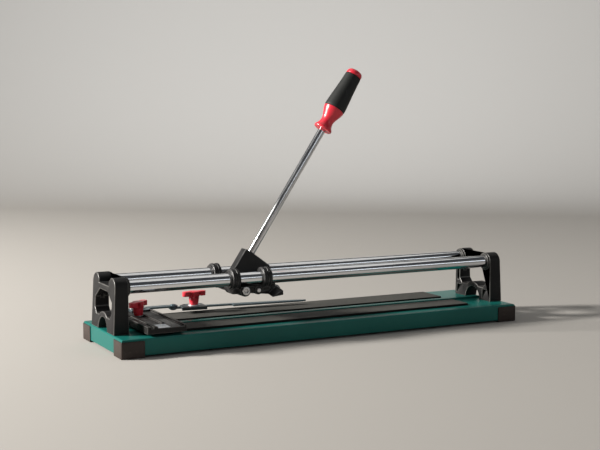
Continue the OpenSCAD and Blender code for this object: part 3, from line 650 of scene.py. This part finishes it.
hard_metal = finish("ground_hard_metal", 0.28, metallic=1.0)
lines = effect(hard_metal, drawn, X_scale=20.0, Y_scale=2.0, Z_scale=20.0)
colour(hard_metal, lines["Shade"], (0.30, 0.30, 0.32), (0.46, 0.46, 0.48))
gloss(hard_metal, lines["Shade"], 0.2, 0.36)
softened("scoring_wheel", 0.00015, hard_metal)
softened("wheel_axle", 0.0003, zinc)

# ---------------------------------------------------------------------------
# Fence. A ribbed bar moulded in glass-filled nylon that turns on one bolt. A
# printed rule is let into its deck, and a bright plate caps its near end.
# ---------------------------------------------------------------------------

fence_nylon = finish("fence_nylon", 0.48, specular=0.2)
pebble = effect(fence_nylon, grain, Grain_scale=1200.0, Cloud_scale=30.0)
rubs = effect(fence_nylon, scuffs, Patch_scale=45.0, Along=14.0, Across=4.0, Cover=0.55)
base = colour(fence_nylon, pebble["Cloud"], (0.0085, 0.0082, 0.008), (0.0150, 0.0145, 0.014))
colour_over(fence_nylon, base, rubs["Mask"], (0.055, 0.054, 0.052))
gloss(fence_nylon, pebble["Cloud"], 0.38, 0.54)
relief(fence_nylon, pebble["Height"], 0.00007, 0.5)
# Rim copy for the rounded edges: lighter and glossier, partly rubbed wear and partly painted highlight.
fence_rim_wear_and_highlight = finish("fence_nylon_rim_wear_and_painted_highlight", 0.34)
pebble = effect(fence_rim_wear_and_highlight, grain, Grain_scale=1200.0, Cloud_scale=80.0)
colour(fence_rim_wear_and_highlight, pebble["Cloud"], (0.05, 0.049, 0.047), (0.12, 0.118, 0.114))
gloss(fence_rim_wear_and_highlight, pebble["Cloud"], 0.26, 0.42)
softened("fence_body", 0.0005, fence_nylon, fence_rim_wear_and_highlight)

rule = finish("printed_rule", 0.45)
pebble = effect(rule, grain, Grain_scale=900.0, Cloud_scale=40.0)
colour(rule, pebble["Cloud"], (0.028, 0.028, 0.027), (0.045, 0.045, 0.043))
gloss(rule, pebble["Cloud"], 0.38, 0.52)
wear("fence_scale", rule)

# Graduations: a thin bar of ink each millimetre, longer at every fifth and longest at every tenth.
ink = finish("pale_graduation", 0.5)
pebble = effect(ink, grain, Grain_scale=900.0, Cloud_scale=200.0)
colour(ink, pebble["Cloud"], (0.16, 0.16, 0.155), (0.30, 0.30, 0.29))
low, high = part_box("fence_scale")
millimetre, edge_gap, first_gap = 0.001, 0.0006, 0.0005
ink_half_width, ink_sunk, ink_height = 0.00016, 0.00002, 0.00006
short, fifth, tenth = 0.0042, 0.0065, 0.0085
marks = np.arange(1, 59)
reach = np.where(marks % 10 == 0, tenth, np.where(marks % 5 == 0, fifth, short))
centre = low.y + marks * millimetre + first_gap
block = np.array([[0, -1, 0], [1, -1, 0], [1, 1, 0], [0, 1, 0],
                  [0, -1, 1], [1, -1, 1], [1, 1, 1], [0, 1, 1]], float)
ticks = np.stack([
    high.x - edge_gap - block[None, :, 0] * reach[:, None],
    centre[:, None] - block[None, :, 1] * ink_half_width,
    high.z - ink_sunk + block[None, :, 2] * ink_height + np.zeros_like(reach)[:, None],
], -1).reshape(-1, 3)
corners = np.array([[3, 2, 1, 0], [4, 5, 6, 7], [0, 1, 5, 4], [1, 2, 6, 5], [2, 3, 7, 6], [3, 0, 4, 7]])
tick_faces = (corners[None] + 8 * np.arange(len(marks))[:, None, None]).reshape(-1, 4)
graduations = surface("rule_graduations", ticks, tick_faces, smooth=False)
graduations.data.materials.append(ink)
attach(graduations, "fence")

bright = finish("bright_plate", 0.4, metallic=0.8)
lines = effect(bright, drawn, X_scale=20.0, Y_scale=2.0, Z_scale=20.0)
colour(bright, lines["Shade"], (0.70, 0.74, 0.80), (0.80, 0.84, 0.89))
gloss(bright, lines["Shade"], 0.36, 0.46)
plate_corner_r, plate_rim_r = 0.0012, 0.0002
low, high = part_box("fence_plate")
outline = rounded_rectangle(low, high, plate_corner_r)
end_plate = plate("fence_plate_pressed", outline, rounded_rim(low.z, high.z, plate_rim_r))
end_plate.data.materials.append(bright)
stands_for(end_plate, "fence_plate")
softened("fence_bolt", 0.0004, zinc)
softened("fence_washer", 0.0002, zinc)

# ---------------------------------------------------------------------------
# Winged knobs. Two identical red plastic knobs, one clamping the fence and one
# clamping the slider of the guide arm; grooves lighten the sides of their heads.
# ---------------------------------------------------------------------------

softened("fence_knob", 0.0008, red)
softened("slider_knob", 0.0008, red)

# ---------------------------------------------------------------------------
# Guide arm. A blued steel strip riveted under a link that is screwed on top of
# the fence, so it swings over the far pad; a slider on it carries a knob.
# ---------------------------------------------------------------------------

blued = finish("blued_steel", 0.38, metallic=0.85)
lines = effect(blued, drawn, X_scale=1.5, Y_scale=16.0, Z_scale=16.0)
rubs = effect(blued, scuffs, Patch_scale=40.0, Along=3.0, Across=12.0, Cover=0.5)
base = colour(blued, lines["Shade"], (0.115, 0.165, 0.19), (0.17, 0.22, 0.245))
colour_over(blued, base, rubs["Mask"], (0.30, 0.34, 0.36))
gloss(blued, lines["Shade"], 0.3, 0.48)
relief(blued, lines["Height"], 0.00002, 0.4)
softened("arm_link", 0.0004, blued)
softened("guide_arm", 0.0004, blued)
softened("arm_rivet", 0.0005, blued)
softened("link_screws", 0.0002, zinc)

dark_coat = finish("dark_slider_coat", 0.42, metallic=0.3)
pebble = effect(dark_coat, grain, Grain_scale=1200.0, Cloud_scale=60.0)
rubs = effect(dark_coat, scuffs, Patch_scale=60.0, Along=6.0, Across=10.0, Cover=0.5)
base = colour(dark_coat, pebble["Cloud"], (0.035, 0.047, 0.052), (0.055, 0.070, 0.076))
colour_over(dark_coat, base, rubs["Mask"], (0.15, 0.17, 0.18))
gloss(dark_coat, pebble["Cloud"], 0.34, 0.5)
softened("arm_slider", 0.0005, dark_coat)
softened("slider_stud", 0.0004, zinc)
softened("slider_washer", 0.0002, bright)
